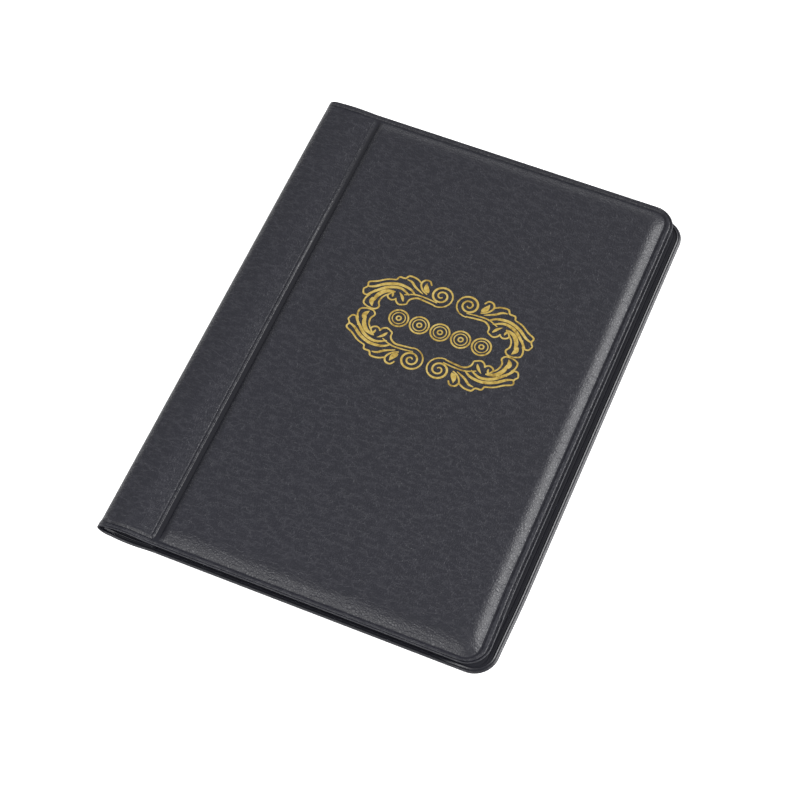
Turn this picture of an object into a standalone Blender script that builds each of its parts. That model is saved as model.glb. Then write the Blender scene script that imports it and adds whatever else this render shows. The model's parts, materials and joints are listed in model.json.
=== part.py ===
"""A pocket coin album, closed and lying on its back cover.

The cover is one sheet of leatherette, welded round foam and board into two padded
covers, with an unpadded strip beside the spine. Ten clear pages with twelve coin
pockets each are welded together at the binding. Each page and each part of the cover
that folds is modelled as the rigid piece between its folds.

Frame: metres, +Z up. X runs from the spine (-X) to the fore edge (+X), Y from the foot
of the album to its head. The origin is the centre of the album's footprint, on the
surface that it lies on.
"""

import math

import bmesh
import bpy
from mathutils import Vector

MM = 0.001

# Overall size
ALBUM_WIDTH = 125 * MM
ALBUM_HEIGHT = 170 * MM
CORNER_RADIUS = 7.5 * MM
FRONT_SHORTER_BY = 2.2 * MM  # the front cover wraps over the pages, so its fore edge falls short

# Layers of a cover, from outside to inside
SKIN = 0.5 * MM
FOAM = 0.74 * MM
BOARD = 0.9 * MM
LINING = 0.3 * MM
LAYER_GAP = 0.08 * MM  # between layers that lie on each other

# Padded panel: how its skin rises from the welded edge, as (margin at the crease, margin
# at the other three sides, share of the rise)
WELD_EDGE = (0.8 * MM, 2.6 * MM, 0.0)
SLOPE_BREAK = (1.8 * MM, 4.2 * MM, 0.67)
CROWN_EDGE = (3.2 * MM, 7.0 * MM, 1.0)

# Spine and the unpadded strips beside it
CREASE_FROM_SPINE = 18.7 * MM
CREASE_GAP = 1.0 * MM  # the welded line itself, which bends
SPINE_BULGE = 3.5 * MM
SPINE_ARC = math.radians(55)  # half of the arc that stays stiff
STRIP_CLEAR_OF_SPINE = 0.5 * MM
STRIP_PUFF = 0.6 * MM
FOLD_ARC = math.radians(75)  # where on the spine's curve the cover folds

# Pages
PAGE_COUNT = 10
FILM = 0.13 * MM
FILM_GAP = 0.07 * MM
PAGE_SHORT_OF_FORE_EDGE = 7.0 * MM
PAGE_SHORT_OF_HEAD = 4.5 * MM
PAGE_CORNER = 4.0 * MM
BINDING_WIDTH = 5.7 * MM
BINDING_TO_FOLD = 1.0 * MM
FOLD_TO_FILM = 3.0 * MM
POCKET_COLUMNS = 3
POCKET_ROWS = 4
POCKET_WELD = 3.0 * MM  # welded band round and between the pockets
MOUTH_HEIGHT = 1.6 * MM
MOUTH_SHARE = 0.8  # of the pocket's width
THUMB_RADIUS = 6.0 * MM

# Foil ornament on the front cover
FOIL = 0.1 * MM
ORNAMENT_WIDTH = 57 * MM
ORNAMENT_HEIGHT = 34 * MM
ORNAMENT_BAND = 7.0 * MM
ORNAMENT_FROM_SPINE = 69 * MM
ORNAMENT_FROM_FOOT = 98.8 * MM

ARC_STEPS = 6

# Worked out from the sizes above
PANEL_RISE = FOAM + BOARD + 2 * LAYER_GAP
PAGE_PITCH = 2 * FILM + 2 * FILM_GAP
STACK = PAGE_COUNT * PAGE_PITCH
LINING_LEVEL = STACK / 2  # heights here are above and below the middle of the album
SKIN_LEVEL = LINING_LEVEL + LINING + LAYER_GAP
WELD_TOP = SKIN_LEVEL + SKIN
MIDDLE = WELD_TOP + PANEL_RISE  # half of the album's thickness
LEFT = -ALBUM_WIDTH / 2
FOOT = -ALBUM_HEIGHT / 2
CREASE = LEFT + CREASE_FROM_SPINE
STRIP_START = LEFT + SPINE_BULGE + STRIP_CLEAR_OF_SPINE
STRIP_END = CREASE - CREASE_GAP / 2
PANEL_START = CREASE + CREASE_GAP / 2


def spine_point(angle, inset=0.0):
    """The spine's half-ellipse, at an angle above the middle, seen from the foot."""
    across = SPINE_BULGE - inset
    up = WELD_TOP - inset
    return LEFT + SPINE_BULGE - across * math.cos(angle), up * math.sin(angle)


def spine_inside(height):
    """Where the spine's inner surface is, at a height from the middle."""
    return spine_point(math.asin(height / (WELD_TOP - SKIN)), SKIN)[0]


SPINE_LINING_X = spine_inside(LINING_LEVEL) + LAYER_GAP
BINDING_X = SPINE_LINING_X + LINING + LAYER_GAP
PAGE_FOLD_X = BINDING_X + BINDING_WIDTH + BINDING_TO_FOLD
PAGE_X = PAGE_FOLD_X + FOLD_TO_FILM
PAGE_END_X = -LEFT - PAGE_SHORT_OF_FORE_EDGE
FOLD_X, FOLD_LEVEL = spine_point(FOLD_ARC, SKIN / 2)


def clear_scene():
    for old in list(bpy.data.objects):
        bpy.data.objects.remove(old, do_unlink=True)


def material(name, colour, roughness, metallic=0.0, alpha=1.0):
    made = bpy.data.materials.new(name)
    made.use_nodes = True
    shader = made.node_tree.nodes["Principled BSDF"]
    shader.inputs["Base Color"].default_value = (*colour, 1.0)
    shader.inputs["Roughness"].default_value = roughness
    shader.inputs["Metallic"].default_value = metallic
    shader.inputs["Alpha"].default_value = alpha
    return made


def collection(name):
    made = bpy.data.collections.new(name)
    bpy.context.scene.collection.children.link(made)
    return made


def body(album, name, axis_x, height):
    """The empty that a moving group hangs on, on its fold line."""
    empty = bpy.data.objects.new(name, None)
    empty.location = (axis_x, 0.0, MIDDLE + height)
    empty.empty_display_size = 10 * MM
    album.objects.link(empty)
    return empty


def place(album, name, mesh, finish, parent, position):
    """A named piece, whose mesh is drawn about position, hung on its body's empty."""
    piece = bpy.data.objects.new(name, mesh)
    album.objects.link(piece)
    piece.parent = parent
    piece.location = Vector(position) - parent.location
    if not mesh.materials:
        mesh.materials.append(finish)
    return piece


def box_mesh(name, size):
    """A box about its own centre."""
    drawn = bmesh.new()
    bmesh.ops.create_cube(drawn, size=1.0)
    bmesh.ops.scale(drawn, vec=size, verts=drawn.verts)
    mesh = bpy.data.meshes.new(name)
    drawn.to_mesh(mesh)
    drawn.free()
    return mesh


def outline(x0, x1, margin, radius):
    """Round the right-hand corners only: the crease side of a cover is square."""
    y0, y1 = FOOT + margin, -FOOT - margin
    radius = max(radius, 0.5 * MM)
    points = [(x0, y0)]
    for centre_y, first in ((y0 + radius, -90), (y1 - radius, 0)):
        for step in range(ARC_STEPS + 1):
            angle = math.radians(first + 90 * step / ARC_STEPS)
            points.append(
                (x1 - radius + radius * math.cos(angle), centre_y + radius * math.sin(angle))
            )
    return points + [(x0, y1)]


def plate_mesh(name, points, thickness):
    """A flat plate of this outline, with its middle at height 0."""
    curve = bpy.data.curves.new(name + "_outline", "CURVE")
    curve.dimensions = "2D"
    curve.fill_mode = "BOTH"
    curve.extrude = thickness / 2
    for loop in points:
        spline = curve.splines.new("POLY")
        spline.points.add(len(loop) - 1)
        for point, (x, y) in zip(spline.points, loop):
            point.co = (x, y, 0.0, 1.0)
        spline.use_cyclic_u = True
    return welded_mesh(name, curve)


def welded_mesh(name, curve):
    """The curve as a closed mesh: its caps are loose until they are welded."""
    drawn_object = bpy.data.objects.new(name + "_drawn", curve)
    bpy.context.scene.collection.objects.link(drawn_object)
    bpy.context.view_layer.update()
    graph = bpy.context.evaluated_depsgraph_get()
    mesh = bpy.data.meshes.new_from_object(drawn_object.evaluated_get(graph))
    mesh.name = name
    drawn = bmesh.new()
    drawn.from_mesh(mesh)
    bmesh.ops.remove_doubles(drawn, verts=drawn.verts, dist=0.001 * MM)
    bmesh.ops.recalc_face_normals(drawn, faces=drawn.faces)
    drawn.to_mesh(mesh)
    drawn.free()
    bpy.data.objects.remove(drawn_object)
    bpy.data.curves.remove(curve)
    return mesh


def solidify(piece, thickness):
    """Gives an outer surface its wall, on the side away from its normals."""
    wall = piece.modifiers.new("wall", "SOLIDIFY")
    wall.thickness = thickness
    wall.offset = -1.0
    wall.use_even_offset = True
    wall.use_quality_normals = True


def panel_skin_mesh(name, end_x, side):
    """The padded panel's outer surface: a loft from its welded edge up to its crown."""
    rings = [(0.0, 0.0, 0.0), WELD_EDGE, SLOPE_BREAK, CROWN_EDGE]
    drawn = bmesh.new()
    loops = []
    for at_crease, at_edge, share in rings:
        points = outline(
            PANEL_START + at_crease, end_x - at_edge, at_edge, CORNER_RADIUS - at_edge * 0.6
        )
        height = side * PANEL_RISE * share
        loops.append([drawn.verts.new((x, y, height)) for x, y in points])
    for outer, inner in zip(loops, loops[1:]):
        for i, vertex in enumerate(outer):
            after = (i + 1) % len(outer)
            drawn.faces.new((vertex, outer[after], inner[after], inner[i]))
    drawn.faces.new(loops[-1])
    if side < 0:
        bmesh.ops.reverse_faces(drawn, faces=drawn.faces)
    mesh = bpy.data.meshes.new(name)
    drawn.to_mesh(mesh)
    drawn.free()
    mesh.shade_smooth()
    mesh.set_sharp_from_angle(angle=math.radians(30))
    return mesh


def wall_mesh(name, profile, length):
    """An outer surface that follows a profile in X and Z, drawn along Y."""
    drawn = bmesh.new()
    rows = [
        [drawn.verts.new((x, y, z)) for x, z in profile] for y in (-length / 2, length / 2)
    ]
    for i in range(len(profile) - 1):
        drawn.faces.new((rows[0][i], rows[0][i + 1], rows[1][i + 1], rows[1][i]))
    mesh = bpy.data.meshes.new(name)
    drawn.to_mesh(mesh)
    drawn.free()
    mesh.shade_smooth()
    return mesh


def layer(album, parent, finish, name, side, start_x, end_x, margin, level, thickness):
    """A flat layer of a cover, level being its inner face's distance from the middle."""
    mesh = plate_mesh(name, [outline(start_x, end_x, margin, CORNER_RADIUS - margin)], thickness)
    height = MIDDLE + side * (level + thickness / 2)
    return place(album, name, mesh, finish, parent, (0.0, 0.0, height))


def padded_cover(album, parent, finishes, which, side, end_x):
    """One cover's panel: leatherette skin, foam, board and lining."""
    mesh = panel_skin_mesh(which + "_cover_skin", end_x, side)
    skin = place(
        album,
        which + "_cover_skin",
        mesh,
        finishes["leatherette"],
        parent,
        (0.0, 0.0, MIDDLE + side * WELD_TOP),
    )
    solidify(skin, SKIN)
    board_level = LINING_LEVEL + LINING + LAYER_GAP
    foam_level = board_level + BOARD + LAYER_GAP
    for name, finish, ring, level, thickness in (
        ("board", "greyboard", SLOPE_BREAK, board_level, BOARD),
        ("foam_pad", "foam", CROWN_EDGE, foam_level, FOAM - LAYER_GAP),
    ):
        layer(
            album,
            parent,
            finishes[finish],
            f"{which}_{name}",
            side,
            PANEL_START + ring[0] + SKIN,
            end_x - ring[1] - SKIN,
            ring[1] + SKIN,
            level,
            thickness,
        )
    layer(
        album,
        parent,
        finishes["lining"],
        which + "_lining",
        side,
        PANEL_START,
        end_x,
        0.0,
        LINING_LEVEL,
        LINING,
    )


def cover_strip(album, parent, finishes, which, side):
    """The unpadded strip between the spine and the crease, a skin over a lining."""
    steps = ARC_STEPS
    profile = []
    for i in range(steps + 1):
        along = i / steps
        x = STRIP_START + (STRIP_END - STRIP_START) * along
        profile.append((x, side * STRIP_PUFF * math.sin(math.pi * along)))
    if side > 0:
        ordered = profile
    else:
        ordered = profile[::-1]
    mesh = wall_mesh(which + "_strip_skin", ordered, ALBUM_HEIGHT)
    skin = place(
        album,
        which + "_strip_skin",
        mesh,
        finishes["leatherette"],
        parent,
        (0.0, 0.0, MIDDLE + side * WELD_TOP),
    )
    solidify(skin, SKIN)
    width = STRIP_END - STRIP_START
    lining = box_mesh(which + "_strip_lining", (width, ALBUM_HEIGHT, LINING))
    place(
        album,
        which + "_strip_lining",
        lining,
        finishes["lining"],
        parent,
        (STRIP_START + width / 2, 0.0, MIDDLE + side * (LINING_LEVEL + LINING / 2)),
    )


def spine_group(album, parent, finishes):
    """The rounded spine, its lining, and the welded block that holds the pages."""
    steps = 2 * ARC_STEPS
    profile = [spine_point(-SPINE_ARC + 2 * SPINE_ARC * i / steps) for i in range(steps + 1)]
    mesh = wall_mesh("spine_skin", profile, ALBUM_HEIGHT)
    skin = place(album, "spine_skin", mesh, finishes["leatherette"], parent, (0, 0, MIDDLE))
    solidify(skin, SKIN)
    page_height = ALBUM_HEIGHT - 2 * PAGE_SHORT_OF_HEAD
    lining = box_mesh("spine_lining", (LINING, page_height, STACK - 2 * LAYER_GAP))
    place(
        album,
        "spine_lining",
        lining,
        finishes["lining"],
        parent,
        (SPINE_LINING_X + LINING / 2, 0.0, MIDDLE),
    )
    block = box_mesh("page_binding", (BINDING_WIDTH, page_height, STACK - 2 * LAYER_GAP))
    place(
        album,
        "page_binding",
        block,
        finishes["clear_film"],
        parent,
        (BINDING_X + BINDING_WIDTH / 2, 0.0, MIDDLE),
    )


def pocket_grid():
    """(centre x, top y, width) of each pocket on a page."""
    x0, x1 = PAGE_X + POCKET_WELD, PAGE_END_X - POCKET_WELD
    y0, y1 = FOOT + PAGE_SHORT_OF_HEAD + POCKET_WELD, -FOOT - PAGE_SHORT_OF_HEAD - POCKET_WELD
    column, row = (x1 - x0) / POCKET_COLUMNS, (y1 - y0) / POCKET_ROWS
    for i in range(POCKET_COLUMNS):
        for j in range(POCKET_ROWS):
            yield x0 + column * (i + 0.5), y0 + row * (j + 1), column - POCKET_WELD


def mouth_outline(centre_x, top_y, width):
    """A pocket's mouth: a straight slit with a thumb notch in its lower edge."""
    half = width * MOUTH_SHARE / 2
    top = top_y - POCKET_WELD / 2
    slit = top - MOUTH_HEIGHT
    notch = min(THUMB_RADIUS, half * 0.8)
    points = [(centre_x + half, top), (centre_x - half, top), (centre_x - half, slit)]
    for step in range(ARC_STEPS + 1):
        angle = math.pi + math.pi * step / ARC_STEPS
        points.append((centre_x + notch * math.cos(angle), slit + notch * math.sin(angle) * 0.6))
    return points + [(centre_x + half, slit)]


def page_outline(start_x):
    """A page's film, square at the binding and rounded at its outer corners."""
    return outline(start_x, PAGE_END_X, PAGE_SHORT_OF_HEAD, PAGE_CORNER)


def page_fold_height(number):
    """Height of a page's fold line from the middle. Page 1 lies under the front cover."""
    return STACK / 2 - (number - 0.5) * PAGE_PITCH


def pages(album, finishes):
    """Ten pages, each a backing film with a pocket film welded on top of it."""
    sheet_mesh = plate_mesh("page_sheet", [page_outline(PAGE_X)], FILM)
    mouths = [mouth_outline(*pocket) for pocket in pocket_grid()]
    pocket_mesh = plate_mesh("page_pockets", [page_outline(PAGE_X), *mouths], FILM)
    for number in range(1, PAGE_COUNT + 1):
        height = page_fold_height(number)
        page = body(album, f"page_{number:02d}", PAGE_FOLD_X, height)
        for name, mesh, step in (("sheet", sheet_mesh, -1), ("pockets", pocket_mesh, 1)):
            lift = step * (FILM + FILM_GAP) / 2
            place(
                album,
                f"page_{number:02d}_{name}",
                mesh,
                finishes["clear_film"],
                page,
                (0.0, 0.0, MIDDLE + height + lift),
            )


def rounded_ring(width, height, exponent, points=48):
    """A superellipse, the plain outline of the ornament."""
    loop = []
    for i in range(points):
        angle = 2 * math.pi * i / points
        c, s = math.cos(angle), math.sin(angle)
        loop.append(
            (
                width / 2 * math.copysign(abs(c) ** (2 / exponent), c),
                height / 2 * math.copysign(abs(s) ** (2 / exponent), s),
            )
        )
    return loop


def ornament(album, parent, finishes):
    """The stamped foil frame, as one flat ring."""
    outer = rounded_ring(ORNAMENT_WIDTH, ORNAMENT_HEIGHT, 2.6)
    inner = rounded_ring(ORNAMENT_WIDTH - 2 * ORNAMENT_BAND, ORNAMENT_HEIGHT - 2 * ORNAMENT_BAND, 2.6)
    mesh = plate_mesh("foil_ornament", [outer, inner], FOIL)
    place(
        album,
        "foil_ornament",
        mesh,
        finishes["gold_foil"],
        parent,
        (
            LEFT + ORNAMENT_FROM_SPINE,
            FOOT + ORNAMENT_FROM_FOOT,
            2 * MIDDLE + LAYER_GAP + FOIL / 2,
        ),
    )


def main():
    clear_scene()
    finishes = {
        "leatherette": material("leatherette", (0.020, 0.021, 0.026), 0.42),
        "lining": material("lining", (0.016, 0.016, 0.019), 0.5),
        "foam": material("foam", (0.80, 0.80, 0.78), 0.9),
        "greyboard": material("greyboard", (0.36, 0.34, 0.31), 0.9),
        "clear_film": material("clear_film", (0.86, 0.90, 0.93), 0.12, alpha=0.3),
        "gold_foil": material("gold_foil", (0.80, 0.62, 0.20), 0.3, metallic=1.0),
    }
    album = collection("coin_album")
    back_cover = body(album, "back_cover", 0.0, -MIDDLE)
    spine = body(album, "spine", FOLD_X, -FOLD_LEVEL)
    front_strip = body(album, "front_strip", FOLD_X, FOLD_LEVEL)
    front_cover = body(album, "front_cover", CREASE, WELD_TOP - SKIN)
    padded_cover(album, back_cover, finishes, "back", -1, -LEFT)
    cover_strip(album, back_cover, finishes, "back", -1)
    spine_group(album, spine, finishes)
    cover_strip(album, front_strip, finishes, "front", 1)
    padded_cover(album, front_cover, finishes, "front", 1, -LEFT - FRONT_SHORTER_BY)
    ornament(album, front_cover, finishes)
    pages(album, finishes)


main()
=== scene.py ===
# %% [markdown]
# # A pocket coin album
#
# This lesson gives a small coin album its looks. Its cover is one sheet of black
# leatherette, welded over foam and board to make two padded covers. Ten clear pages of coin
# pockets are welded together at the spine, and the front cover carries a gold foil ornament.
#
# The stiff parts, their sizes and the folds between them come from a finished model, the
# frame. Everything here is drawn round that frame, in metres, so a piece needs no fitting.

# %% Load the model
import json
import math

import bmesh
import bpy
from mathutils import Euler, Matrix, Vector, noise


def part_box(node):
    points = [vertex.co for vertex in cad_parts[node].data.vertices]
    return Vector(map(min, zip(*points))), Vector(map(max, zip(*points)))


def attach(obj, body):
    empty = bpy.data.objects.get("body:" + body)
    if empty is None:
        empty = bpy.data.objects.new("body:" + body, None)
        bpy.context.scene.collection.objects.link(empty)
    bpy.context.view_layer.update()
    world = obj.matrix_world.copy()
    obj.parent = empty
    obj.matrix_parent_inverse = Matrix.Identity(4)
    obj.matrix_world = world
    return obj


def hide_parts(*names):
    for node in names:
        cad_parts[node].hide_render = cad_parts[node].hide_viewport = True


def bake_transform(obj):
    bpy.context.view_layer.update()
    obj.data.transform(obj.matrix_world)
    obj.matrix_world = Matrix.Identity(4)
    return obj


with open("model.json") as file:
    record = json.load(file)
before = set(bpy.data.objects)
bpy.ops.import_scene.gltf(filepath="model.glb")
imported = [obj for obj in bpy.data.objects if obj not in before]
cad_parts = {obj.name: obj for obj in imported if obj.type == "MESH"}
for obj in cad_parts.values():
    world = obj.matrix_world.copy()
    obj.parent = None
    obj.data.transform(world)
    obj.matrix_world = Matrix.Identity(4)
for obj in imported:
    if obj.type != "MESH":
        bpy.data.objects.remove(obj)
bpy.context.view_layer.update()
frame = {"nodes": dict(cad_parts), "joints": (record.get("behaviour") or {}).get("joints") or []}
MM = 0.001

# %% [markdown]
# ## Where things are
#
# The two covers are mirror images about the album's middle height, so every height below is
# measured outwards from that middle. `SIDES` then puts a piece above or below it. The weld
# top is the outer face of the flat welded rim, and the padding rises from there.

# %% Measure the frame
SIDES = {"front": 1, "back": -1}
LEATHER = 0.5 * MM
LAYER_GAP = 0.08 * MM
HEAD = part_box("front_cover_skin")[1].y
MIDDLE = (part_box("front_lining")[0].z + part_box("back_lining")[1].z) / 2
LINING_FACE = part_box("front_lining")[0].z - MIDDLE
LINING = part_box("front_lining")[1].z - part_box("front_lining")[0].z
WELD_TOP = LINING_FACE + LINING + LAYER_GAP + LEATHER
PAD_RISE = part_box("front_cover_skin")[1].z - MIDDLE - WELD_TOP
SPINE_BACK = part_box("spine_skin")[0].x
SPINE_BULGE = 3.5 * MM
FOLDS = {joint["name"]: Vector(joint["pos_m"]) for joint in frame["joints"]}
CREASE = FOLDS["front_crease"].x


def fore_edge(which):
    """X of a cover's fore edge: the front cover is a little shorter than the back one."""
    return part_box(which + "_cover_skin")[1].x


def height(which, rise):
    """World height of a point that lies this far outwards from the album's middle."""
    return MIDDLE + SIDES[which] * rise


print("weld top above the middle:", round(WELD_TOP / MM, 2), "mm")
print("padding above the weld:", round(PAD_RISE / MM, 2), "mm")

# %% [markdown]
# ## Shared shaping helpers
#
# Welded leatherette has few shapes: it eases from one level to another, it has rounded
# beads, and it is pressed into grooves. `ease` is a smooth step between two places, `bead`
# is a rounded ridge, and `follow` reads a cross-section drawn with a few points.


# %% Easing, beads and cross-sections
def ease(value, low, high):
    """0 below low, 1 above high, and a smooth rise between them."""
    share = min(max((value - low) / (high - low), 0.0), 1.0)
    return share * share * (3 - 2 * share)


def bead(distance, width):
    """A rounded ridge, 1 high, that fades within about this width to either side."""
    return math.exp(-((distance / width) ** 2) * 2)


def follow(section, place):
    """The height of a cross-section, drawn as (place, height) points, at a place along it."""
    for (start, low), (end, high) in zip(section, section[1:]):
        if place <= end:
            return low + (high - low) * ease(place, start, end)
    return section[-1][1]


# %% [markdown]
# ## Sheets from rows of points
#
# A sheet is woven from rows of points, with a four-sided face between every four
# neighbours. Each sheet also remembers its flat, unrolled position in a UV map. The leather
# grain is read from that map, so it runs on round the spine without stretching, and it
# stays on the sheet when the cover bends. A Solidify modifier gives the sheet its thickness.


# %% Sheet builder
GRAIN_MAP = "Unrolled"
WELD_MARK = "Welded"
SAME_POINT = 0.001 * MM


def new_piece(name, data):
    """Puts a mesh, a lamp or a camera into the scene as an object."""
    piece = bpy.data.objects.new(name, data)
    bpy.context.scene.collection.objects.link(piece)
    return piece


def drawn_piece(name, drawn, smooth=False):
    """Turns the points and faces drawn so far into an object."""
    mesh = bpy.data.meshes.new(name)
    drawn.to_mesh(mesh)
    drawn.free()
    if smooth:
        mesh.shade_smooth()
    return new_piece(name, mesh)


def woven(name, rows, unrolled, flip, marks=None):
    """A mesh object through rows of points, with its flat position kept as a UV map. Marks
    say how strongly each point is welded, from 0 to 1."""
    width = len(rows[0])
    faces = []
    for row in range(len(rows) - 1):
        for column in range(width - 1):
            first = row * width + column
            face = (first, first + 1, first + width + 1, first + width)
            faces.append(face[::-1] if flip else face)
    mesh = bpy.data.meshes.new(name)
    mesh.from_pydata([point for row in rows for point in row], [], faces)
    flat = [place for row in unrolled for place in row]
    layer = mesh.uv_layers.new(name=GRAIN_MAP)
    for loop in mesh.loops:
        layer.data[loop.index].uv = flat[loop.vertex_index]
    mark = mesh.attributes.new(WELD_MARK, "FLOAT", "POINT")
    if marks:
        mark.data.foreach_set("value", [value for row in marks for value in row])
    drawn = bmesh.new()
    drawn.from_mesh(mesh)
    bmesh.ops.remove_doubles(drawn, verts=drawn.verts, dist=SAME_POINT)
    drawn.to_mesh(mesh)
    drawn.free()
    mesh.shade_smooth()
    return new_piece(name, mesh)


def thicken(piece, thickness):
    """Gives a sheet its wall, on the side away from its normals."""
    wall = piece.modifiers.new("wall", "SOLIDIFY")
    wall.thickness = thickness
    wall.offset = -1.0
    wall.use_even_offset = True
    return piece


# %% [markdown]
# ## Leatherette
#
# The cover is vinyl with a fine embossed calf grain. Seen close, it has small pebbles, and
# over them run longer, finer wrinkles where the vinyl was drawn over its backing. It is a
# charcoal with painted shade and painted highlight in its grain: a darker, bluer colour
# between the pebbles stands for the shade in the hollows, and a lighter colour along the
# wrinkles stands for the light caught by their edges. The tops of the pebbles are a little
# smoother and glossier than the hollows.
#
# Noise alone looks cloudy, because it has no lines. So the borders between the cells of a
# Voronoi texture draw the pebbles, and two more networks of cells, stretched and leaning
# different ways, draw the wrinkles, while noise fades them in and out. Both drive a Bump
# node, and they also shift the roughness a little and paint shade and highlight into the
# colour, because a grain that only tilts the light looks printed. Where the welding tool has
# pressed the vinyl, the points of the sheet carry a mark, and there the grain fades smooth
# and the colour turns a darker navy, which is partly painted shade for the valley beside
# the bead and the pressed grooves.


# %% Node helpers
def new_material(name):
    """An empty node material, with its tree and its Principled shader."""
    made = bpy.data.materials.new(name)
    made.use_nodes = True
    tree = made.node_tree
    return made, tree, tree.nodes["Principled BSDF"]


def node(tree, kind, inputs=None, **settings):
    """Adds a node, sets its properties, then links or sets its inputs."""
    made = tree.nodes.new(kind)
    for name, value in settings.items():
        setattr(made, name, value)
    for socket, value in (inputs or {}).items():
        if isinstance(value, bpy.types.NodeSocket):
            tree.links.new(value, made.inputs[socket])
        else:
            made.inputs[socket].default_value = value
    return made


def finish_shader(tree, shader, colour, roughness, relief, strength, depth):
    """Links a colour and a roughness to the shader, and makes its bumps from a relief."""
    bump = node(tree, "ShaderNodeBump", {"Strength": strength, "Distance": depth, "Height": relief})
    tree.links.new(colour, shader.inputs["Base Color"])
    tree.links.new(bump.outputs["Normal"], shader.inputs["Normal"])
    if isinstance(roughness, bpy.types.NodeSocket):
        tree.links.new(roughness, shader.inputs["Roughness"])
    else:
        shader.inputs["Roughness"].default_value = roughness


def ramp(tree, factor, stops):
    """A colour ramp with these (place, colour) stops."""
    made = node(tree, "ShaderNodeValToRGB", {"Fac": factor})
    elements = made.color_ramp.elements
    while len(elements) < len(stops):
        elements.new(0.5)
    for element, (place, colour) in zip(elements, stops):
        element.position = place
        element.color = (*colour, 1.0)
    return made.outputs["Color"]


def value_range(tree, value, low, high, source=(0.0, 1.0)):
    """Maps a value from one range to another."""
    ends = {"From Min": source[0], "From Max": source[1], "To Min": low, "To Max": high}
    return node(tree, "ShaderNodeMapRange", {"Value": value, **ends}).outputs["Result"]


def combine(tree, first, second, operation="ADD"):
    """The sum, or another operation, of two values."""
    return node(tree, "ShaderNodeMath", {0: first, 1: second}, operation=operation).outputs[0]


def times(tree, first, second):
    """The product of two values."""
    return combine(tree, first, second, "MULTIPLY")


def clouds(tree, place, scale, detail):
    """Soft noise. A higher scale makes smaller patches."""
    inputs = {"Vector": place, "Scale": scale, "Detail": detail}
    return node(tree, "ShaderNodeTexNoise", inputs).outputs["Fac"]


def unrolled_place(tree):
    """Where a point lies on the flat sheet."""
    return node(tree, "ShaderNodeUVMap", uv_map=GRAIN_MAP).outputs["UV"]


def weld_strength(tree):
    """How strongly a point is welded, from 0 to 1."""
    mark = {"attribute_name": WELD_MARK, "attribute_type": "GEOMETRY"}
    return node(tree, "ShaderNodeAttribute", **mark).outputs["Fac"]


# %% Grain of the leatherette
PEBBLE = 0.8 * MM
WRINKLE = 1.55 * MM
WRINKLE_WIDTH = 0.17
WRINKLE_LEANS = ((14, 0.42, 0.0), (-30, 0.46, 7.0))


def cell_borders(tree, place, size):
    """The distance to the nearest border between cells of this size."""
    inputs = {"Vector": place, "Scale": 1.0 / size, "Randomness": 1.0}
    return node(tree, "ShaderNodeTexVoronoi", inputs, feature="DISTANCE_TO_EDGE").outputs["Distance"]


def vector_math(tree, first, second, operation="ADD"):
    """The sum, or another operation, of two vectors."""
    made = node(tree, "ShaderNodeVectorMath", {0: first, 1: second}, operation=operation)
    return made.outputs["Vector"]


def wrinkles(tree, flat, curl):
    """Lines of two networks, each turned by some degrees, stretched and shifted."""
    found = None
    for turn, stretch, shift in WRINKLE_LEANS:
        placing = {
            "Vector": flat,
            "Location": (shift, shift, 0.0),
            "Rotation": Euler((0, 0, math.radians(turn))),
            "Scale": (stretch, 1.0, 1.0),
        }
        lean = node(tree, "ShaderNodeMapping", placing).outputs["Vector"]
        borders = cell_borders(tree, vector_math(tree, lean, curl), WRINKLE)
        lines = value_range(tree, borders, 1.0, 0.0, (0.0, WRINKLE_WIDTH))
        patches = value_range(tree, clouds(tree, lean, 0.9 / WRINKLE, 1.0), 0.0, 1.0, (0.42, 0.60))
        lines = times(tree, lines, patches)
        found = lines if found is None else combine(tree, found, lines, "MAXIMUM")
    return times(tree, found, 0.75)


# %% Leatherette material
GRAIN_DEPTH = 0.13 * MM
GRAIN_CURL = 0.8 * PEBBLE
# Painted shade and highlight: dark and bluer between the pebbles, lighter along the wrinkles.
GRAIN_SHADE_AND_HIGHLIGHT_COLOURS = [
    (0.0, (0.0022, 0.0025, 0.0078)),
    (0.5, (0.0074, 0.0076, 0.0138)),
    (1.0, (0.0165, 0.0168, 0.0235)),
]
# Darker navy where the vinyl is pressed: partly painted shade in the valley beside the bead and in the
# pressed grooves.
WELD_AND_SHADE_COLOUR = (0.0020, 0.0022, 0.0072, 1.0)
GRAIN_LEFT_BY_WELD = 0.12


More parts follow.
